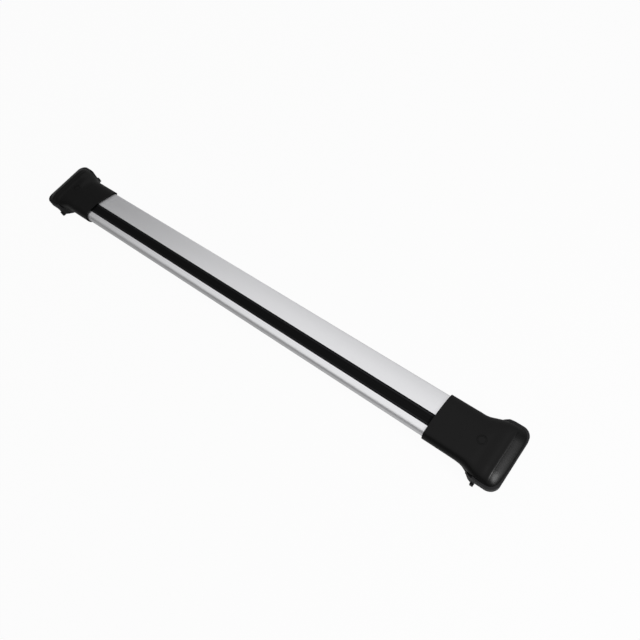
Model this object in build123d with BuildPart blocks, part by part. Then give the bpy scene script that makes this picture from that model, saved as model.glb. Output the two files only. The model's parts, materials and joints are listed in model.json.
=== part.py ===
from build123d import *
import os
from math import cos, pi, radians, sin, sqrt, tan

# A roof cross bar: an aerofoil aluminium bar with a rubber strip in its top slot and a moulded
# clamp foot on each end. Millimetres, X along the bar, Y rearwards, Z up from the feet's lowest edge.

# Bar extrusion
bar_span = 871.0            # between the mouths of the two feet
bar_width = 84.0
bar_centre_y = -1.2         # the bar sits a little forward of the middle of the feet
bar_height = 26.0
bar_underside = 16.0        # over the feet's lowest edge
bar_wall = 1.8
nose_top_radius = 10.5      # the nose is rounder below than above
tail_radius = 3.5
tail_height = 12.0          # centre of the tail's round over the underside
tail_top_slope = 20.5       # degrees, where the top meets the tail's round
tail_low_slope = 26.0       # degrees, where the underside meets it
top_fall_radius = 200.0
underside_rise_start = 0.0  # Y where the flat underside starts to rise
rear_web_y = 12.0

# Accessory slot and its rubber strip
strip_width = 22.7
strip_rear_y = -4.6
strip_depth = 1.4
strip_inside_foot = 50.0
strip_side_gap = 0.15
lip_thickness = 2.6
slot_opening = 11.0
channel_width = 23.0
channel_height = 6.5
stem_wall = 2.2
barb_reach = 1.6
barb_height = 1.8
barb_gap = 0.1
rib_width = 1.2
rib_height = 0.35
rib_count = 5

# Foot: the outer form shared by cover and base, x measured outboard from the sleeve's mouth
sleeve_gap = 0.3            # all round the bar
cover_wall = 3.3            # round the bar
shell_wall = 2.6            # from the bar's end outwards
bar_in_foot = 60.0
cover_length = 134.0
paddle_half_width = 55.2
paddle_corner = 14.0
straight_sleeve = 50.0
loft_step = 6.6             # between the form's cross-sections
end_steps = 6
flare_start = 63.0
flare_end = 108.0
paddle_top = 45.6
shoulder_width = 26.0
valley_x = 92.0
valley_half_width = 9.0
valley_depth = 0.8
crown_end_x = 104.0
cover_edge = 2.0            # upright edge left at the paddle's end
seam_height = 34.0          # where cover and base part round the paddle
sleeve_seam_height = 21.0   # where they part along the sleeve
seam_rise_start = 70.0
seam_rise_end = 97.0
seam_gap = 0.3
widest_drop = 3.0           # of the paddle's widest level below the seam
fall_handle = 24.0          # curve handles of the sleeve's section: along the fall behind the strip,
fall_handle_drop = 1.8      # how far that one dips,
tail_handle = 7.5           # up from the tail
tail_low_handle = 5.0       # and down from it

# Base moulding
base_wall = 3.0
ledge = 3.5                 # how far the base's rim stands out past the cover
ledge_start = 82.0
ledge_end = 92.0
rail_seat_height = 20.4     # underside of the rubber saddle
rim_height = 21.0           # underside of the rim
tab_x = 96.4
tab_thickness = 5.6
tab_fillet = 6.0
tab_root = 2.5              # rounding where the flank meets the tab
lug_half_width = 60.3       # the tab's lower part stands out past the rim
lug_height = 10.0
flank_start = 50.0
flank_end = 74.0
flank_low = 5.2
flank_points = 6
flank_edge = 2.0            # rounding left along the flank's lower edge
flank_step = 0.4            # from the flank's lower edge up to the block's
ledge_overlap = 3.0
shelf_width = 3.4           # that the cover's edge stands on
trough_wall = 1.0           # at the inboard end of the trough over the seat floor
plate_gap = 0.5             # beside the bracket, in the opening of the underside
tray_thickness = 2.7
seat_floor_top = 27.0
seat_floor_thickness = 3.1

# Rubber saddle
pad_gap = 0.3
pad_groove_width = 1.6
pad_groove_depth = 1.0
pad_groove_pitch = 5.0

# Clamp: bolt, bracket and claw
bolt_x = 80.5
bolt_diameter = 6.0
bolt_head_diameter = 10.0
bolt_head_height = 6.0
bolt_key_size = 5.0
bolt_key_depth = 3.2
bolt_length = 22.4
bolt_chamfer = 0.5
thread_clearance = 0.05
hole_clearance = 0.3
washer_diameter = 12.0
washer_thickness = 1.6
nut_size = 10.0
nut_height = 5.0
head_clearance = 0.1
bracket_thickness = 4.0
bracket_width = 48.0
bracket_tongue_width = 21.0
bracket_tongue_start = 8.0
bracket_seat_width = 68.0
bracket_end_inset = 8.0     # from the cover's end
bracket_flange = 2.5
bracket_flange_height = 7.0
bracket_angle = 52.0
bracket_riser_gap = 0.6     # to the tab's inner face
bracket_leaf_start = 6.0    # inboard of the tab
bracket_shoulder = 8.0      # over which the leaf widens
flange_start = 3.0          # outboard of the neck
flange_end = 11.0           # inboard of the leaf
claw_thickness = 3.5
claw_width = 40.0
claw_start = 70.0
claw_tip = 111.0
claw_joggle_x = 87.0
claw_joggle = 5.0
claw_angle = 45.0
claw_corner = 5.0
claw_floor_gap = 0.6
claw_guide_gap = 0.4
claw_travel = 8.4
liner_thickness = 2.0
liner_length = 7.5
liner_inset = 0.8           # from the hook's tip and sides
liner_chamfer = 0.5

# Round plug over the bolt
plug_diameter = 15.8
plug_height = 6.6
plug_recess = 0.4
plug_well_gap = 0.1         # radial
plug_seat_gap = 0.2
plug_groove_diameter = 12.4
plug_groove_width = 0.8
plug_groove_depth = 0.5
plug_chamfer = 0.4
plug_face = 2.0             # thickness of the cup's face
well_wall = 2.0
well_ledge = 1.8
well_ledge_depth = 3.0

# Screws that hold bracket, bar and base together, and cover to base
bar_screw_diameter = 6.0
bar_screw_head_diameter = 10.5
bar_screw_head_height = 3.3
bar_screw_key_size = 4.0
bar_screw_key_depth = 2.3
bar_screw_first_x = 22.0
bar_screw_pitch = 22.0
cover_screw_diameter = 4.0
cover_screw_head_diameter = 8.0
cover_screw_head_height = 2.2
cover_screw_length = 13.0
cover_screw_inset = 17.0    # from the cover's end
cover_screw_y = 41.0
boss_diameter = 9.0
boss_hole_spare = 0.5       # past the screw's end
screw_head_taper = 13.0     # degrees

# Worked out from the sizes above
base_length = cover_length + ledge
bracket_seat_end = cover_length - bracket_end_inset
cover_screw_x = cover_length - cover_screw_inset
mouth = bar_span / 2
bar_top = bar_underside + bar_height
nose_low_radius = bar_height - nose_top_radius
nose_z = bar_top - nose_top_radius
nose_tip_y = bar_centre_y - bar_width / 2
tail_y = bar_centre_y + bar_width / 2 - tail_radius
tail_z = bar_underside + tail_height
strip_y = strip_rear_y - strip_width / 2
channel_floor = bar_top - strip_depth - lip_thickness - channel_height
sleeve_offset = sleeve_gap + cover_wall
sleeve_half_width = bar_width / 2 + sleeve_offset
sleeve_top = bar_top + sleeve_offset
sleeve_bottom = bar_underside - sleeve_gap - tray_thickness
plate_bottom = bar_underside + bar_wall
plate_top = plate_bottom + bracket_thickness
seat_floor_bottom = seat_floor_top - seat_floor_thickness
claw_arm_top = claw_floor_gap + claw_joggle + claw_thickness
claw_arm_bottom = claw_arm_top - claw_thickness
tab_outer_x = tab_x + tab_thickness
recess_start = tab_outer_x + tab_fillet
bolt_place = (mouth + bolt_x, 0)
bar_screw_places = [(mouth + bar_screw_first_x + i * bar_screw_pitch, strip_y) for i in range(2)]
cover_screw_places = [(mouth + cover_screw_x, side * cover_screw_y) for side in (-1, 1)]
quarter = 0.5523            # handle length that makes a cubic curve a quarter of an ellipse


def ease(x, start, end):
    """Nought before start, one past end, and a smooth rise between."""
    t = min(max((x - start) / (end - start), 0.0), 1.0)
    return t * t * (3 - 2 * t)


def blend(x, at_sleeve, at_paddle):
    return at_sleeve + (at_paddle - at_sleeve) * ease(x, flare_start, flare_end)


def half_width(x, length, corner):
    """Half the plan width of the cover's form at a station, with the paddle's round corners."""
    width = blend(x, sleeve_half_width, paddle_half_width)
    past = max(x - (length - corner), 0.0)
    return width - corner + sqrt(max(corner**2 - past**2, 0.0))


def top_height(x):
    """Crown line of the cover: level, a soft valley, then an arc down to the edge over the seam."""
    level = blend(x, sleeve_top, paddle_top)
    dip = 0.0
    if abs(x - valley_x) < valley_half_width:
        dip = valley_depth * (1 + cos(pi * (x - valley_x) / valley_half_width)) / 2
    run = cover_length - crown_end_x
    drop = paddle_top - seam_height - cover_edge
    radius = (run**2 + drop**2) / (2 * drop)
    past = max(x - crown_end_x, 0.0)
    return level - dip - (radius - sqrt(radius**2 - past**2))


def flank_height(x):
    """Lower edge of the base: level under the sleeve, then down to the flank's level edge."""
    return sleeve_bottom + (flank_low - sleeve_bottom) * ease(x, flank_start, flank_end)


def foot_section(x, inset):
    """Closed cross-section of the foot's form, drawn in by inset, as six smooth edges."""
    sharpen = ease(x, flare_start, ledge_start)
    half = half_width(x, cover_length - inset, paddle_corner - inset) - inset
    nose = bar_centre_y * (1 - sharpen) - half
    tail = bar_centre_y * (1 - sharpen) + half
    top = top_height(x) - inset
    low = flank_height(x) + inset
    front_z = blend(x, nose_z, seam_height - widest_drop)
    rear_z = blend(x, tail_z, seam_height - widest_drop)
    shoulder = blend(x, nose_top_radius + sleeve_offset, shoulder_width) - inset
    top_rear = blend(x, strip_rear_y, paddle_half_width - shoulder_width)
    top_rear = min(top_rear, tail - shoulder / 2)
    fall = blend(x, fall_handle, quarter * shoulder_width)
    rear_handle = blend(x, tail_handle, quarter * (top - rear_z))
    low_handle = blend(x, tail_low_handle, quarter * (rear_z - low))
    undercut_front = (nose_low_radius + sleeve_offset) * (1 - sharpen) + flank_edge * sharpen
    undercut_rear = half * (1 - sharpen) + flank_edge * sharpen
    front = (nose, front_z)
    top_front = (nose + shoulder, top)
    top_back = (top_rear, top)
    back = (tail, rear_z)
    low_back = (tail - undercut_rear, low)
    low_front = (nose + undercut_front, low)
    Bezier(front, (nose, front_z + quarter * (top - front_z)),
           (nose + shoulder * (1 - quarter), top), top_front)
    Line(top_front, top_back)
    Bezier(top_back, (top_rear + fall, top - blend(x, fall_handle_drop, 0)),
           (tail, rear_z + rear_handle), back)
    Bezier(back, (tail, rear_z - low_handle), (tail - undercut_rear * (1 - quarter), low), low_back)
    Line(low_back, low_front)
    Bezier(low_front, (nose + undercut_front * (1 - quarter), low),
           (nose, front_z - quarter * (front_z - low)), front)


def foot_form(first, last, inset):
    """The foot's form: a straight sleeve, a loft through the flare, and one round the paddle's end."""
    turn = cover_length - paddle_corner
    flare_steps = round((turn - straight_sleeve) / loft_step)
    flare = [straight_sleeve + (turn - straight_sleeve) * i / flare_steps for i in range(flare_steps + 1)]
    end = [turn + (paddle_corner - inset) * sin(pi / 2 * i / end_steps) for i in range(end_steps + 1)]
    with BuildPart() as form:
        if first < straight_sleeve:
            with BuildSketch(Plane.YZ.offset(mouth + first)):
                with BuildLine():
                    foot_section(first, inset)
                make_face()
            extrude(amount=straight_sleeve - first)
        for stations in (flare, end):
            if stations[0] < last:
                for x in stations:
                    with BuildSketch(Plane.YZ.offset(mouth + x)):
                        with BuildLine():
                            foot_section(x, inset)
                        make_face()
                loft()
        if first > straight_sleeve:
            split(bisect_by=Plane.YZ.offset(mouth + first), keep=Keep.TOP)
        if last < cover_length - inset:
            split(bisect_by=Plane.YZ.offset(mouth + last), keep=Keep.BOTTOM)
    return form.part


def bar_outline(grow=0.0):
    """The aerofoil: a round nose, a level top, a long fall to a small tail, a rising underside."""
    radius = tail_radius + grow
    top = bar_top + grow
    low = bar_underside - grow
    top_angle = radians(tail_top_slope)
    low_angle = radians(tail_low_slope)
    tail_top = (tail_y + radius * sin(top_angle), tail_z + radius * cos(top_angle))
    tail_low = (tail_y + radius * sin(low_angle), tail_z - radius * cos(low_angle))
    nose_tip = (nose_tip_y - grow, nose_z)
    nose_top = (nose_tip_y + nose_top_radius, top)
    nose_low = (nose_tip_y + nose_low_radius, low)
    with BuildSketch() as outline:
        with BuildLine():
            RadiusArc(nose_low, nose_tip, nose_low_radius + grow)
            RadiusArc(nose_tip, nose_top, nose_top_radius + grow)
            Line(nose_top, (strip_rear_y, top))
            RadiusArc((strip_rear_y, top), tail_top, top_fall_radius + grow)
            ThreePointArc(tail_top, (tail_y + radius, tail_z), tail_low)
            TangentArc((underside_rise_start, low), tail_low, tangent=(1, 0))
            Line((underside_rise_start, low), nose_low)
        make_face()
    return outline.sketch


def make_bar():
    outline = bar_outline()
    with BuildSketch() as walls:
        with Locations((strip_y, bar_top)):
            Rectangle(channel_width + 2 * bar_wall, 2 * (bar_top - channel_floor + bar_wall))
        with Locations((strip_y - channel_width / 2 - bar_wall / 2, bar_underside),
                       (rear_web_y, bar_underside)):
            Rectangle(bar_wall, 2 * bar_height)
        add(outline, mode=Mode.INTERSECT)
    with BuildPart() as bar:
        with BuildSketch(Plane.YZ):
            add(outline)
            add(bar_outline(-bar_wall), mode=Mode.SUBTRACT)
            add(walls.sketch)
            with Locations((strip_y, bar_top)):
                Rectangle(strip_width, 2 * strip_depth, mode=Mode.SUBTRACT)
                Rectangle(slot_opening, 2 * (strip_depth + lip_thickness + 1), mode=Mode.SUBTRACT)
            with Locations((strip_y, channel_floor)):
                Rectangle(channel_width, channel_height, align=(Align.CENTER, Align.MIN),
                          mode=Mode.SUBTRACT)
        extrude(amount=mouth + bar_in_foot, both=True)
        holes = [(side * x, y) for side in (-1, 1) for x, y in bar_screw_places]
        with BuildSketch(Plane.XY.offset(bar_underside - 1)):
            with Locations(*holes):
                Circle(bar_screw_diameter / 2 + hole_clearance)
        extrude(amount=bar_wall + 2, mode=Mode.SUBTRACT)
    bar.part.label = "bar"
    return bar.part


def make_strip():
    """Mushroom strip: a ribbed cap in the recess and two barbed legs that snap under the lips."""
    cap_width = strip_width - 2 * strip_side_gap
    cap_top = bar_top - rib_height
    cap_bottom = bar_top - strip_depth
    barb_top = cap_bottom - lip_thickness - barb_gap
    leg_bottom = barb_top - barb_height
    leg_y = slot_opening / 2 - strip_side_gap
    with BuildPart() as strip:
        with BuildSketch(Plane.YZ):
            with Locations((strip_y, cap_bottom)):
                Rectangle(cap_width, cap_top - cap_bottom, align=(Align.CENTER, Align.MIN))
            rib_step = (cap_width - rib_width) / (rib_count - 1)
            with Locations((strip_y, cap_top)):
                with GridLocations(rib_step, 0, rib_count, 1):
                    Rectangle(rib_width, rib_height, align=(Align.CENTER, Align.MIN))
            for side in (-1, 1):
                edge = strip_y + side * leg_y
                with BuildLine():
                    Polyline((edge - side * stem_wall, cap_bottom), (edge, cap_bottom),
                             (edge, barb_top),
                             (edge + side * barb_reach, barb_top),
                             (edge, leg_bottom), (edge - side * stem_wall, leg_bottom), close=True)
                make_face()
        extrude(amount=mouth + strip_inside_foot, both=True)
    strip.part.label = "slot_strip"
    return strip.part


def above_seam(gap):
    """All that lies higher than the seam between base and cover by at least gap."""
    start = mouth - 1
    far = mouth + base_length + 10
    top = 2 * seam_height
    low_seam = sleeve_seam_height + gap
    rise_end = (mouth + seam_rise_end, seam_height + gap)
    with BuildPart() as region:
        with BuildSketch(Plane.XZ.offset(-paddle_half_width * 2)):
            with BuildLine():
                level = Line((start, low_seam), (mouth + seam_rise_start, low_seam))
                rise = TangentArc(level @ 1, rise_end, tangent=(1, 0))
                Polyline(rise @ 1, (far, seam_height + gap), (far, top), (start, top), level @ 0)
            make_face()
        extrude(amount=paddle_half_width * 4)
    return region.part


def make_cover():
    """Upper shell of the foot: sleeve over the bar, flare, valley and domed paddle."""
    well_radius = plug_diameter / 2 + plug_well_gap
    well_top = top_height(bolt_x)
    ledge_top = well_top - plug_recess - plug_height - plug_seat_gap
    with BuildPart() as cover:
        add(foot_form(0, cover_length, 0))
        add(above_seam(0), mode=Mode.INTERSECT)
        add(foot_form(bar_in_foot, cover_length, shell_wall), mode=Mode.SUBTRACT)
        with BuildSketch(Plane.YZ.offset(mouth - 1)):
            add(bar_outline(sleeve_gap))
        extrude(amount=bar_in_foot + 2, mode=Mode.SUBTRACT)
        with BuildSketch(Plane.XY.offset(ledge_top - well_ledge_depth)):
            with Locations(bolt_place):
                Circle(well_radius + well_wall)
        extrude(amount=well_top - ledge_top + well_ledge_depth - shell_wall / 2)
        with BuildSketch(Plane.XY.offset(ledge_top)):
            with Locations(bolt_place):
                Circle(well_radius)
        extrude(amount=20, mode=Mode.SUBTRACT)
        with BuildSketch(Plane.XY.offset(ledge_top - well_ledge_depth)):
            with Locations(bolt_place):
                Circle(well_radius - well_ledge)
        extrude(amount=20, mode=Mode.SUBTRACT)
        with BuildSketch(Plane.XY.offset(seat_floor_top)):
            with Locations(*cover_screw_places):
                Circle(boss_diameter / 2)
        extrude(until=Until.NEXT)
        with BuildSketch(Plane.XY.offset(seat_floor_top)):
            with Locations(*cover_screw_places):
                Circle(cover_screw_diameter / 2)
        extrude(amount=cover_screw_length - seat_floor_thickness + boss_hole_spare, mode=Mode.SUBTRACT)
    cover.part.label = "cover_right"
    return cover.part


def rim_half_width(x):
    """Half the plan width of the base's block: the cover's, and a ledge that fades in along the flank."""
    return blend(x, sleeve_half_width, paddle_half_width) + ledge * ease(x, ledge_start, ledge_end)


def base_outline(x_start, inset=0.0):
    """Plan of the base's outer block from a station outwards, drawn in by inset."""
    corner = paddle_corner + ledge
    turn_x = base_length - corner
    stations = [x_start + (turn_x - x_start) * i / flank_points for i in range(flank_points + 1)]
    slope = rim_half_width(x_start + 0.5) - rim_half_width(x_start - 0.5)
    end = mouth + base_length - inset
    with BuildSketch() as outline:
        with BuildLine():
            points = [(mouth + x, rim_half_width(x) - inset) for x in stations]
            flare = Spline(*points, tangents=[(1, slope), (1, 0)])
            turn = RadiusArc(flare @ 1, (end, paddle_half_width + ledge - corner), corner - inset)
            Polyline(turn @ 1, (end, 0), (mouth + x_start, 0), flare @ 0)
        make_face()
        mirror(about=Plane.XZ)
    return outline.sketch


def make_base():
    """Lower moulding: tray under the bar, flanks down to the tab, and the rim round the saddle."""
    seam_top = seam_height - seam_gap
    block_start = mouth + ledge_start
    flank_z = flank_low + flank_step
    inner_x = mouth + tab_x
    outer_x = mouth + tab_outer_x
    far = mouth + base_length + 5
    reach = 2 * paddle_half_width
    window_top = claw_floor_gap + claw_thickness + claw_travel + claw_guide_gap
    with BuildPart() as base:
        # Block from the flank outwards, cut to its side view: tab below, rim above
        with BuildSketch(Plane.XY.offset(-1)):
            add(base_outline(ledge_start))
        extrude(amount=seam_height + 2)
        with BuildSketch(Plane.XZ.offset(-reach)):
            with BuildLine():
                flank = Line((block_start - 1, flank_z), (inner_x - tab_root, flank_z))
                inner = RadiusArc(flank @ 1, (inner_x, flank_z - tab_root), tab_root)
                tab = Polyline(inner @ 1, (inner_x, 0), (outer_x, 0), (outer_x, rim_height - tab_fillet))
                root = RadiusArc(tab @ 1, (outer_x + tab_fillet, rim_height), tab_fillet)
                Polyline(root @ 1, (far, rim_height), (far, seam_top), (block_start - 1, seam_top),
                         flank @ 0)
            make_face()
        extrude(amount=2 * reach, mode=Mode.INTERSECT)
        with BuildSketch(Plane.XY):
            with Locations((inner_x, 0)):
                Rectangle(tab_thickness, 2 * lug_half_width, align=(Align.MIN, Align.CENTER))
        extrude(amount=lug_height)
        # Tray and flanks, the lower part of the foot's form
        add(foot_form(0, ledge_start + ledge_overlap, 0))
        add(above_seam(-seam_gap), mode=Mode.SUBTRACT)
        # Room for the bar, and the chamber round the clamp with its opening below
        with BuildSketch(Plane.YZ.offset(mouth - 1)):
            add(bar_outline(sleeve_gap))
        extrude(amount=bar_in_foot + 2, mode=Mode.SUBTRACT)
        add(foot_form(bar_in_foot, tab_x, base_wall), mode=Mode.SUBTRACT)
        with BuildSketch(Plane.XY.offset(-1)):
            with Locations((inner_x, 0)):
                Rectangle(tab_x - bar_in_foot - base_wall, bracket_width + 2 * plate_gap,
                          align=(Align.MAX, Align.CENTER))
        extrude(amount=seat_floor_bottom + 1, mode=Mode.SUBTRACT)
        with BuildSketch(Plane.XY.offset(seat_floor_top)):
            add(base_outline(ledge_start + trough_wall, ledge + shelf_width))
        extrude(amount=seam_height, mode=Mode.SUBTRACT)
        # Window for the claw through the tab, and the saddle's recess
        with BuildSketch(Plane.XY.offset(-1)):
            with Locations((mouth + tab_x + tab_thickness / 2, 0)):
                Rectangle(3 * tab_thickness, claw_width + 2 * claw_guide_gap)
        extrude(amount=window_top + 1, mode=Mode.SUBTRACT)
        with BuildSketch(Plane.XY.offset(rim_height - 1)):
            add(base_outline(recess_start, base_wall))
        extrude(amount=seat_floor_bottom - rim_height + 1, mode=Mode.SUBTRACT)
        with BuildSketch(Plane.XY):
            with Locations(*bar_screw_places):
                Circle(bar_screw_diameter / 2 + hole_clearance)
            with Locations(*cover_screw_places):
                Circle(cover_screw_diameter / 2 + hole_clearance)
        extrude(amount=seam_height, mode=Mode.SUBTRACT)
    base.part.label = "base_right"
    return base.part


def make_rail_pad():
    """Rubber saddle: grooved below, with holes for the heads of the cover's screws."""
    first = mouth + recess_start + pad_gap
    grooves = int((base_length - base_wall - recess_start) / pad_groove_pitch)
    with BuildPart() as pad:
        with BuildSketch(Plane.XY.offset(rail_seat_height)):
            add(base_outline(recess_start + pad_gap, base_wall + pad_gap))
        extrude(amount=seat_floor_bottom - rail_seat_height)
        with BuildSketch(Plane.XY.offset(rail_seat_height - 1)):
            for i in range(grooves):
                with Locations((first + pad_groove_pitch * (i + 0.5), 0)):
                    Rectangle(pad_groove_width, 4 * paddle_half_width)
        extrude(amount=pad_groove_depth + 1, mode=Mode.SUBTRACT)
        with BuildSketch(Plane.XY.offset(rail_seat_height - 1)):
            with Locations(*cover_screw_places):
                Circle(cover_screw_head_diameter / 2 + hole_clearance)
        extrude(amount=seam_height, mode=Mode.SUBTRACT)
    pad.part.label = "rail_pad_right"
    return pad.part


def cranked_profile(x_start, x_bend, x_end, z_start, rise, angle, thickness):
    """Side view of a flat bar bent up by rise, or down where it is negative, and level again."""
    slant = radians(angle if rise > 0 else -angle)
    run = rise / tan(slant)
    shift = thickness * tan(slant / 2)
    with BuildSketch() as profile:
        with BuildLine():
            Polyline((x_start, z_start), (x_bend, z_start), (x_bend + run, z_start + rise),
                     (x_end, z_start + rise), (x_end, z_start + rise + thickness),
                     (x_bend + run - shift, z_start + rise + thickness),
                     (x_bend - shift, z_start + thickness), (x_start, z_start + thickness), close=True)
        make_face()
    return profile.sketch


def make_foot_bracket():
    """Pressed steel bracket: tongue in the bar, flanged seat for the bolt, leaf on the base's floor."""
    rise = seat_floor_top - plate_bottom
    bend = mouth + tab_x - bracket_riser_gap - rise / tan(radians(bracket_angle))
    neck = mouth + bar_in_foot + base_wall + plate_gap
    leaf = mouth + tab_x - bracket_leaf_start
    shoulder = leaf - bracket_shoulder
    seat_end = mouth + bracket_seat_end
    with BuildPart() as bracket:
        with BuildSketch(Plane.XZ):
            add(cranked_profile(mouth + bracket_tongue_start, bend, seat_end, plate_bottom, rise,
                                bracket_angle, bracket_thickness))
        extrude(amount=bracket_seat_width, both=True)
        with BuildSketch(Plane.XY):
            with Locations((mouth + bracket_tongue_start, strip_y)):
                Rectangle(neck - mouth - bracket_tongue_start + 2, bracket_tongue_width,
                          align=(Align.MIN, Align.CENTER))
            with BuildLine():
                Polyline((neck, -bracket_width / 2), (shoulder, -bracket_width / 2),
                         (leaf, -bracket_seat_width / 2), (seat_end, -bracket_seat_width / 2),
                         (seat_end, bracket_seat_width / 2), (leaf, bracket_seat_width / 2),
                         (shoulder, bracket_width / 2), (neck, bracket_width / 2), close=True)
            make_face()
        extrude(amount=2 * seam_height, mode=Mode.INTERSECT)
        with BuildSketch(Plane.XY.offset(plate_top)):
            for side in (-1, 1):
                with Locations((neck + flange_start, side * (bracket_width - bracket_flange) / 2)):
                    Rectangle(leaf - neck - flange_start - flange_end, bracket_flange,
                              align=(Align.MIN, Align.CENTER))
        extrude(amount=bracket_flange_height)
        with BuildSketch(Plane.XY.offset(plate_bottom - 1)):
            with Locations(bolt_place):
                Circle(bolt_diameter / 2 + hole_clearance)
            with Locations(*bar_screw_places):
                Circle(bar_screw_diameter / 2 + thread_clearance)
        extrude(amount=bracket_thickness + 2, mode=Mode.SUBTRACT)
    bracket.part.label = "foot_bracket_right"
    return bracket.part


def make_claw():
    """Joggled steel claw: arm under the bracket, step down, and hook through the tab's window."""
    with BuildPart() as claw:
        with BuildSketch(Plane.XZ):
            add(cranked_profile(mouth + claw_start, mouth + claw_joggle_x, mouth + claw_tip,
                                claw_arm_bottom, -claw_joggle, claw_angle, claw_thickness))
        extrude(amount=claw_width / 2, both=True)
        fillet(claw.edges().filter_by(Axis.Z).group_by(Axis.X)[0], claw_corner)
        with BuildSketch(Plane.XY.offset(claw_arm_bottom - 1)):
            with Locations(bolt_place):
                Circle(bolt_diameter / 2 + hole_clearance)
        extrude(amount=claw_thickness + 2, mode=Mode.SUBTRACT)
    claw.part.label = "claw_right"
    return claw.part


def make_claw_liner():
    """Rubber facing on the hook, pressed against the roof rail from below."""
    with BuildPart() as liner:
        with BuildSketch(Plane.XY.offset(claw_floor_gap + claw_thickness)):
            with Locations((mouth + claw_tip - liner_inset, 0)):
                Rectangle(liner_length, claw_width - 2 * liner_inset, align=(Align.MAX, Align.CENTER))
        extrude(amount=liner_thickness)
        chamfer(liner.edges().group_by(Axis.Z)[-1], liner_chamfer)
    liner.part.label = "claw_liner_right"
    return liner.part


def make_clamp_bolt():
    """Socket head screw, turned from above through the well."""
    under_head = plate_top + washer_thickness + head_clearance
    with BuildPart() as bolt:
        with BuildSketch(Plane.XY.offset(under_head)):
            with Locations(bolt_place):
                Circle(bolt_head_diameter / 2)
        extrude(amount=bolt_head_height)
        chamfer(bolt.edges().group_by(Axis.Z)[-1], bolt_chamfer)
        with BuildSketch(Plane.XY.offset(under_head)):
            with Locations(bolt_place):
                Circle(bolt_diameter / 2)
        extrude(amount=-bolt_length)
        chamfer(bolt.edges().group_by(Axis.Z)[0], bolt_chamfer)
        with BuildSketch(Plane.XY.offset(under_head + bolt_head_height - bolt_key_depth)):
            with Locations(bolt_place):
                RegularPolygon(bolt_key_size / 2, 6, major_radius=False)
        extrude(amount=bolt_key_depth + 1, mode=Mode.SUBTRACT)
    bolt.part.label = "clamp_bolt_right"
    return bolt.part


def make_clamp_washer():
    """Plain washer between the bolt's head and the bracket."""
    with BuildPart() as washer:
        with BuildSketch(Plane.XY.offset(plate_top)):
            with Locations(bolt_place):
                Circle(washer_diameter / 2)
                Circle(bolt_diameter / 2 + hole_clearance, mode=Mode.SUBTRACT)
        extrude(amount=washer_thickness)
    washer.part.label = "clamp_washer_right"
    return washer.part


def make_clamp_nut():
    """Hexagon nut welded under the claw's arm."""
    with BuildPart() as nut:
        with BuildSketch(Plane.XY.offset(claw_arm_bottom)):
            with Locations(bolt_place):
                RegularPolygon(nut_size / 2, 6, major_radius=False)
                Circle(bolt_diameter / 2 + thread_clearance, mode=Mode.SUBTRACT)
        extrude(amount=-nut_height)
    nut.part.label = "clamp_nut_right"
    return nut.part


def make_lock_plug():
    """Round plug that closes the bolt's well: a cup with a fine groove round its face."""
    top = top_height(bolt_x) - plug_recess
    with BuildPart() as plug:
        with BuildSketch(Plane.XY.offset(top)):
            with Locations(bolt_place):
                Circle(plug_diameter / 2)
        extrude(amount=-plug_height)
        chamfer(plug.edges().group_by(Axis.Z)[-1], plug_chamfer)
        with BuildSketch(Plane.XY.offset(top)):
            with Locations(bolt_place):
                Circle(plug_groove_diameter / 2)
                Circle(plug_groove_diameter / 2 - plug_groove_width, mode=Mode.SUBTRACT)
        extrude(amount=-plug_groove_depth, mode=Mode.SUBTRACT)
        with BuildSketch(Plane.XY.offset(top - plug_height)):
            with Locations(bolt_place):
                Circle(plug_groove_diameter / 2 - plug_groove_width)
        extrude(amount=plug_height - plug_face, mode=Mode.SUBTRACT)
    plug.part.label = "lock_plug_right"
    return plug.part


def make_bar_screws():
    """Two screws from below, through base and bar into the bracket's tongue."""
    with BuildPart() as screws:
        with BuildSketch(Plane.XY.offset(sleeve_bottom)):
            with Locations(*bar_screw_places):
                Circle(bar_screw_head_diameter / 2)
        extrude(amount=-bar_screw_head_height, taper=screw_head_taper)
        with BuildSketch(Plane.XY.offset(sleeve_bottom)):
            with Locations(*bar_screw_places):
                Circle(bar_screw_diameter / 2)
        extrude(amount=plate_top - sleeve_bottom)
        with BuildSketch(Plane.XY.offset(sleeve_bottom - bar_screw_head_height)):
            with Locations(*bar_screw_places):
                RegularPolygon(bar_screw_key_size / 2, 6, major_radius=False)
        extrude(amount=bar_screw_key_depth, mode=Mode.SUBTRACT)
    screws.part.label = "bar_screws_right"
    return screws.part


def make_cover_screws():
    """Two screws from below, through the base's floor into the cover's bosses."""
    with BuildPart() as screws:
        with BuildSketch(Plane.XY.offset(seat_floor_bottom)):
            with Locations(*cover_screw_places):
                Circle(cover_screw_head_diameter / 2)
        extrude(amount=-cover_screw_head_height, taper=screw_head_taper)
        with BuildSketch(Plane.XY.offset(seat_floor_bottom)):
            with Locations(*cover_screw_places):
                Circle(cover_screw_diameter / 2 - thread_clearance)
        extrude(amount=cover_screw_length)
    screws.part.label = "cover_screws_right"
    return screws.part


def write_piece(piece):
    export_step(piece, f"parts/{piece.label}.step")
    print(piece.label, len(piece.solids()), round(piece.volume))


def write_pair(right):
    """The right foot's piece and its mirror image on the left."""
    with BuildPart() as left:
        mirror(right, about=Plane.YZ)
    left.part.label = right.label.replace("right", "left")
    write_piece(right)
    write_piece(left.part)


os.makedirs("parts", exist_ok=True)
write_piece(make_bar())
write_piece(make_strip())
for make in (make_cover, make_base, make_rail_pad, make_foot_bracket, make_claw, make_claw_liner,
             make_clamp_bolt, make_clamp_washer, make_clamp_nut, make_lock_plug, make_bar_screws,
             make_cover_screws):
    write_pair(make())
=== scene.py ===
import json
from math import radians

import bpy
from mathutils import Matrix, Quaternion, Vector


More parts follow.
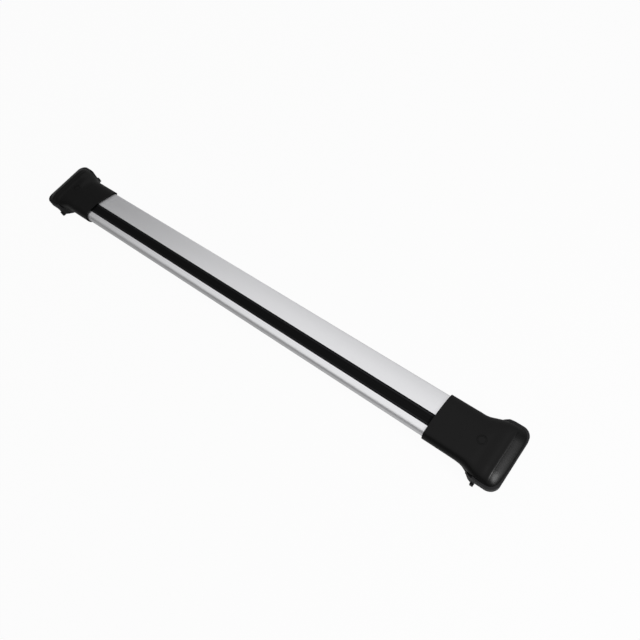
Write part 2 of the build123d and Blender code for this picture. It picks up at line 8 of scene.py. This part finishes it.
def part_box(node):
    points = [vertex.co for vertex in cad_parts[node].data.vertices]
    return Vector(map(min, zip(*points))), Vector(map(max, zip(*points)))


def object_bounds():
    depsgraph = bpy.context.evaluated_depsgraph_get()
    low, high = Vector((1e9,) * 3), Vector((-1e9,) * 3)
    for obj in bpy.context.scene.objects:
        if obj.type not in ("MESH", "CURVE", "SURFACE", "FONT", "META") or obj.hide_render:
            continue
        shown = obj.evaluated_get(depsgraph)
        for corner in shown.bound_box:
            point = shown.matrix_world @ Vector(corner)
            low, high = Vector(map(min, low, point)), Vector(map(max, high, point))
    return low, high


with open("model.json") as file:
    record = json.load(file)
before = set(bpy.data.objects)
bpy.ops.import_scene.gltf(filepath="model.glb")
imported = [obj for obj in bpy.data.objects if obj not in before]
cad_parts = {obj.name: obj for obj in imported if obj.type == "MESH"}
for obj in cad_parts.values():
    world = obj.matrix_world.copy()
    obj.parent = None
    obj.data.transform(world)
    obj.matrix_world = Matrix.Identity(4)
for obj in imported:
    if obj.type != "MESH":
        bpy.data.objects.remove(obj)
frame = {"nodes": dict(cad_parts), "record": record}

# A roof cross bar on a white studio floor. Metres, X along the bar, Y rearwards, Z up.

MM = 0.001
WHITE = (1, 1, 1, 1)

# Camera, fitted to the outline of the photographed bar and feet
CAMERA_PLACE = Vector((629.5, -292.9, 981.1)) * MM
CAMERA_HEADING = 144.907        # degrees from +X towards +Y
CAMERA_PITCH = -58.986          # degrees, negative below level
CAMERA_ROLL = -19.467
CAMERA_LENS = 34.065
CAMERA_SENSOR = 36
CAMERA_NEAR = 10 * MM

# Softboxes: place, the point that each faces, width and height, all in mm, and watts
SOFTBOXES = {
    "overhead": ((-150, 200, 1800), (-150, 200, 0), (3600, 4400), 34.4),
    "rear": ((-400, 2600, 1000), (-400, 0, 1000), (5200, 2000), 12.6),
    "end_light": ((1604, -70, 1049), (500, 0, 45), (640, 520), 26),
}
ROOM_LIGHT = 0.05               # what the room adds to the softboxes

# White background
GLOSS_SHARE = 0.15              # of it in reflections, so that the metal keeps its shading
FLOOR_GLOW = 0.96               # of the floor's look to the camera; the rest holds the shadow
FLOOR_SIZE = 8                  # m
FLOOR_DROP = 0.2 * MM           # under the lowest edge of the feet

# Patterns
NOISE_LOW, NOISE_HIGH = 0.3, 0.7    # nearly all of a noise texture lies between
DRAW_LINE_LENGTH = 1000 / 6     # mm
DRAW_LINE_SPACING = 0.8         # mm, wider than real so that the lines show
GRAIN_SWING = 0.04              # of roughness, up and down, over a moulded grain
SEAM_SHADE_REACH = 6 * MM             # how near another wall has to be for painted shade in seams
SEAM_SHADE_OPEN = 0.6                 # painted shade is darkest where seams are less open to the air than this
OUTER_RIB = 8.2 * MM            # from the middle of the strip
PLATING_CLOUD = 6               # mm across

cad_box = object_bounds()


def srgb(code):
    """Linear RGBA from an sRGB hex colour such as '1c1d1f'."""
    channels = [int(code[i:i + 2], 16) / 255 for i in (0, 2, 4)]
    linear = [c / 12.92 if c <= 0.04045 else ((c + 0.055) / 1.055) ** 2.4 for c in channels]
    return (*linear, 1.0)


def add_node(owner, kind, inputs=None, **settings):
    """Adds a node with its settings, its input values and, where a value is a socket, its links."""
    tree = owner.node_tree
    made = tree.nodes.new(kind)
    for name, value in settings.items():
        setattr(made, name, value)
    for name, value in (inputs or {}).items():
        if isinstance(value, bpy.types.NodeSocket):
            tree.links.new(value, made.inputs[name])
        else:
            made.inputs[name].default_value = value
    return made


def new_material(name):
    """An empty node material and its output node."""
    material = bpy.data.materials.new(name)
    material.use_nodes = True
    material.node_tree.nodes.clear()
    return material, add_node(material, "ShaderNodeOutputMaterial")


def finish_material(material, output, surface):
    """Links the surface to the material's output."""
    material.node_tree.links.new(surface, output.inputs["Surface"])
    return material


def count_in(material, x_mm, y_mm, z_mm):
    """Object coordinates counted in a pattern's spacings along X, Y and Z."""
    coords = add_node(material, "ShaderNodeTexCoord")
    mapping = add_node(material, "ShaderNodeMapping",
                       {"Vector": coords.outputs["Object"],
                        "Scale": (1 / (x_mm * MM), 1 / (y_mm * MM), 1 / (z_mm * MM))})
    return mapping.outputs["Vector"]


def anodised_aluminium():
    """Drawn and anodised aluminium: a satin grey metal with faint draw lines along its length."""
    material, output = new_material("anodised_aluminium")
    along = count_in(material, DRAW_LINE_LENGTH, DRAW_LINE_SPACING, DRAW_LINE_SPACING)
    lines = add_node(material, "ShaderNodeTexNoise", {"Vector": along, "Scale": 1.0, "Detail": 2.0})
    rough = add_node(material, "ShaderNodeMapRange",
                     {"Value": lines.outputs["Fac"], "From Min": NOISE_LOW, "From Max": NOISE_HIGH,
                      "To Min": 0.36, "To Max": 0.44})
    bump = add_node(material, "ShaderNodeBump",
                    {"Height": lines.outputs["Fac"], "Strength": 0.05, "Distance": 0.1 * MM})
    shader = add_node(material, "ShaderNodeBsdfPrincipled",
                      {"Base Color": srgb("f0f0f2"), "Metallic": 1.0,
                       "Roughness": rough.outputs["Result"], "Normal": bump.outputs["Normal"]})
    return finish_material(material, output, shader.outputs["BSDF"])


def moulded_plastic(name, tone, roughness, grain=0.9, depth=0.04):
    """Moulded polyamide with a fine spark-eroded grain: black and soft gloss, with painted shade darkening
    its seams.
    """
    material, output = new_material(name)
    cells = count_in(material, grain, grain, grain)
    texture = add_node(material, "ShaderNodeTexNoise", {"Vector": cells, "Scale": 1.0, "Detail": 3.0})
    rough = add_node(material, "ShaderNodeMapRange",
                     {"Value": texture.outputs["Fac"], "From Min": NOISE_LOW, "From Max": NOISE_HIGH,
                      "To Min": roughness - GRAIN_SWING, "To Max": roughness + GRAIN_SWING})
    bump = add_node(material, "ShaderNodeBump",
                    {"Height": texture.outputs["Fac"], "Strength": 0.35, "Distance": depth * MM})
    # Painted shade: the AO node darkens the tone towards near black close to other walls, in seams and
    # recesses.
    seam_shade = add_node(material, "ShaderNodeAmbientOcclusion", {"Distance": SEAM_SHADE_REACH})
    out_of_shade = add_node(material, "ShaderNodeMapRange",
                        {"Value": seam_shade.outputs["AO"], "From Min": SEAM_SHADE_OPEN, "From Max": 1.0})
    colour = add_node(material, "ShaderNodeMix",
                      {"Factor": out_of_shade.outputs["Result"], "A": srgb("020202"), "B": srgb(tone)},
                      data_type="RGBA")
    shader = add_node(material, "ShaderNodeBsdfPrincipled",
                      {"Base Color": colour.outputs["Result"], "Roughness": rough.outputs["Result"],
                       "Specular IOR Level": 0.155, "Normal": bump.outputs["Normal"]})
    return finish_material(material, output, shader.outputs["BSDF"])


def strip_rubber():
    """Extruded rubber: near black and matt, a little greyer along the two outer ribs, partly from wear and
    partly as a painted sheen.
    """
    material, output = new_material("extruded_rubber")
    low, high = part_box("slot_strip")
    middle_y = (low[1] + high[1]) / 2
    coords = add_node(material, "ShaderNodeTexCoord")
    axes = add_node(material, "ShaderNodeSeparateXYZ", {"Vector": coords.outputs["Object"]})
    rearwards = add_node(material, "ShaderNodeMath", {0: axes.outputs["Y"], 1: middle_y},
                         operation="SUBTRACT")
    from_middle = add_node(material, "ShaderNodeMath", {0: rearwards.outputs[0]}, operation="ABSOLUTE")
    outwards = add_node(material, "ShaderNodeMath", {0: from_middle.outputs[0], 1: OUTER_RIB},
                        operation="SUBTRACT")
    from_rib = add_node(material, "ShaderNodeMath", {0: outwards.outputs[0]}, operation="ABSOLUTE")
    # Greyer lines on the outer ribs: partly wear, partly a painted sheen.
    wear_and_sheen = add_node(material, "ShaderNodeMapRange",
                      {"Value": from_rib.outputs[0], "From Min": 0.5 * MM, "From Max": 1.3 * MM,
                       "To Min": 1.0, "To Max": 0.0})
    colour = add_node(material, "ShaderNodeMix",
                      {"Factor": wear_and_sheen.outputs["Result"], "A": srgb("070708"), "B": srgb("1d1d1f")},
                      data_type="RGBA")
    grit = count_in(material, 3, 0.8, 0.8)
    texture = add_node(material, "ShaderNodeTexNoise", {"Vector": grit, "Scale": 1.0, "Detail": 2.0})
    rough = add_node(material, "ShaderNodeMapRange",
                     {"Value": texture.outputs["Fac"], "To Min": 0.6, "To Max": 0.75})
    bump = add_node(material, "ShaderNodeBump",
                    {"Height": texture.outputs["Fac"], "Strength": 0.2, "Distance": 0.05 * MM})
    shader = add_node(material, "ShaderNodeBsdfPrincipled",
                      {"Base Color": colour.outputs["Result"], "Roughness": rough.outputs["Result"],
                       "Specular IOR Level": 0.08, "Normal": bump.outputs["Normal"]})
    return finish_material(material, output, shader.outputs["BSDF"])


def matt_rubber(name, tone, grit=1.2):
    """Moulded rubber: near black and matt."""
    material, output = new_material(name)
    cells = count_in(material, grit, grit, grit)
    texture = add_node(material, "ShaderNodeTexNoise", {"Vector": cells, "Scale": 1.0, "Detail": 2.0})
    rough = add_node(material, "ShaderNodeMapRange",
                     {"Value": texture.outputs["Fac"], "To Min": 0.68, "To Max": 0.82})
    bump = add_node(material, "ShaderNodeBump",
                    {"Height": texture.outputs["Fac"], "Strength": 0.25, "Distance": 0.05 * MM})
    shader = add_node(material, "ShaderNodeBsdfPrincipled",
                      {"Base Color": srgb(tone), "Roughness": rough.outputs["Result"],
                       "Specular IOR Level": 0.15, "Normal": bump.outputs["Normal"]})
    return finish_material(material, output, shader.outputs["BSDF"])


def plated_steel(name, tone, roughness):
    """Zinc plated or plain steel, with the soft cloudiness of its surface."""
    material, output = new_material(name)
    clouds = count_in(material, PLATING_CLOUD, PLATING_CLOUD, PLATING_CLOUD)
    texture = add_node(material, "ShaderNodeTexNoise", {"Vector": clouds, "Scale": 1.0, "Detail": 4.0})
    rough = add_node(material, "ShaderNodeMapRange",
                     {"Value": texture.outputs["Fac"],
                      "To Min": roughness - 0.08, "To Max": roughness + 0.1})
    bump = add_node(material, "ShaderNodeBump",
                    {"Height": texture.outputs["Fac"], "Strength": 0.1, "Distance": 0.05 * MM})
    shader = add_node(material, "ShaderNodeBsdfPrincipled",
                      {"Base Color": srgb(tone), "Metallic": 1.0, "Roughness": rough.outputs["Result"],
                       "Normal": bump.outputs["Normal"]})
    return finish_material(material, output, shader.outputs["BSDF"])


def background_share(owner):
    """How much of the white background a ray sees: all from the camera and through glass, some in gloss."""
    path = add_node(owner, "ShaderNodeLightPath")
    clear = add_node(owner, "ShaderNodeMath",
                     {0: path.outputs["Is Camera Ray"], 1: path.outputs["Is Transmission Ray"]},
                     operation="MAXIMUM")
    share = add_node(owner, "ShaderNodeMath",
                     {0: path.outputs["Is Glossy Ray"], 1: GLOSS_SHARE, 2: clear.outputs[0]},
                     operation="MULTIPLY_ADD", use_clamp=True)
    return share.outputs[0]


def studio_floor():
    """White paper floor: near white to the camera, and it keeps a soft shadow."""
    material, output = new_material("white_paper")
    diffuse = add_node(material, "ShaderNodeBsdfDiffuse", {"Color": srgb("a4a4a4")})
    glow = add_node(material, "ShaderNodeEmission", {"Color": WHITE, "Strength": 1.0})
    both = add_node(material, "ShaderNodeMixShader",
                    {0: FLOOR_GLOW, 1: diffuse.outputs[0], 2: glow.outputs[0]})
    shown = add_node(material, "ShaderNodeMixShader",
                     {0: background_share(material), 1: diffuse.outputs[0], 2: both.outputs[0]})
    return finish_material(material, output, shown.outputs[0])


def dress_nodes():
    """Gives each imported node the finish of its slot."""
    finishes = {
        "anodised_aluminium": anodised_aluminium(),
        "strip_rubber": strip_rubber(),
        "cover_plastic": moulded_plastic("grained_polyamide", "080808", 0.36),
        "base_plastic": moulded_plastic("grained_polyamide_base", "1e1e1f", 0.5),
        "plug_plastic": moulded_plastic("smooth_polyamide", "0a0a0a", 0.38, grain=1.5, depth=0.015),
        "pad_rubber": matt_rubber("moulded_rubber", "232325"),
        "bracket_steel": moulded_plastic("black_powder_coat", "202122", 0.45, grain=1.4),
        "claw_steel": plated_steel("zinc_plated_steel", "b9bcbf", 0.35),
        "zinc_fasteners": plated_steel("zinc_plated_screws", "c3c5c8", 0.3),
        "bolt_steel": plated_steel("stainless_steel", "b4b6b9", 0.28),
    }
    slot_of = {part["node"]: part["material_slot"] for part in frame["record"]["subparts"]}
    for name, piece in frame["nodes"].items():
        finish = finishes[slot_of[name]]
        for slot in piece.material_slots:
            slot.material = finish
        if not piece.material_slots:
            piece.data.materials.append(finish)


def add_floor():
    bpy.ops.mesh.primitive_plane_add(size=FLOOR_SIZE)
    floor = bpy.context.object
    floor.name = "floor"
    floor.location.z = cad_box[0][2] - FLOOR_DROP
    floor.data.materials.append(studio_floor())


def add_softboxes():
    """Rectangular softboxes, each facing its point."""
    for name, (place, faced, (width, height), watts) in SOFTBOXES.items():
        lamp = bpy.data.lights.new(name, "AREA")
        lamp.shape = "RECTANGLE"
        lamp.size = width * MM
        lamp.size_y = height * MM
        lamp.energy = watts
        box = bpy.data.objects.new(name, lamp)
        box.location = Vector(place) * MM
        aim = Vector(faced) * MM - box.location
        box.rotation_euler = aim.to_track_quat("-Z", "Y").to_euler()
        bpy.context.scene.collection.objects.link(box)


def add_world():
    """The room: white as a background, and dim as a light."""
    world = bpy.data.worlds.new("studio")
    world.use_nodes = True
    bright = add_node(world, "ShaderNodeMapRange",
                      {"Value": background_share(world), "To Min": ROOM_LIGHT, "To Max": 1.0})
    back = world.node_tree.nodes["Background"]
    back.inputs["Color"].default_value = WHITE
    world.node_tree.links.new(bright.outputs["Result"], back.inputs["Strength"])
    bpy.context.scene.world = world


def add_camera():
    """A level view along +X, pitched, headed and rolled to the photograph's."""
    camera = bpy.data.cameras.new("camera")
    camera.lens = CAMERA_LENS
    camera.sensor_width = CAMERA_SENSOR
    camera.clip_start = CAMERA_NEAR
    seat = bpy.data.objects.new("camera", camera)
    seat.location = CAMERA_PLACE
    sight = Vector((1, 0, 0))
    sight.rotate(Quaternion((0, 1, 0), radians(-CAMERA_PITCH)))
    sight.rotate(Quaternion((0, 0, 1), radians(CAMERA_HEADING)))
    roll = Quaternion((0, 0, 1), radians(CAMERA_ROLL))
    seat.rotation_mode = "QUATERNION"
    seat.rotation_quaternion = sight.to_track_quat("-Z", "Y") @ roll
    bpy.context.scene.collection.objects.link(seat)
    bpy.context.scene.camera = seat


dress_nodes()
add_floor()
add_world()
add_softboxes()
add_camera()
bpy.context.scene.view_settings.view_transform = "Standard"
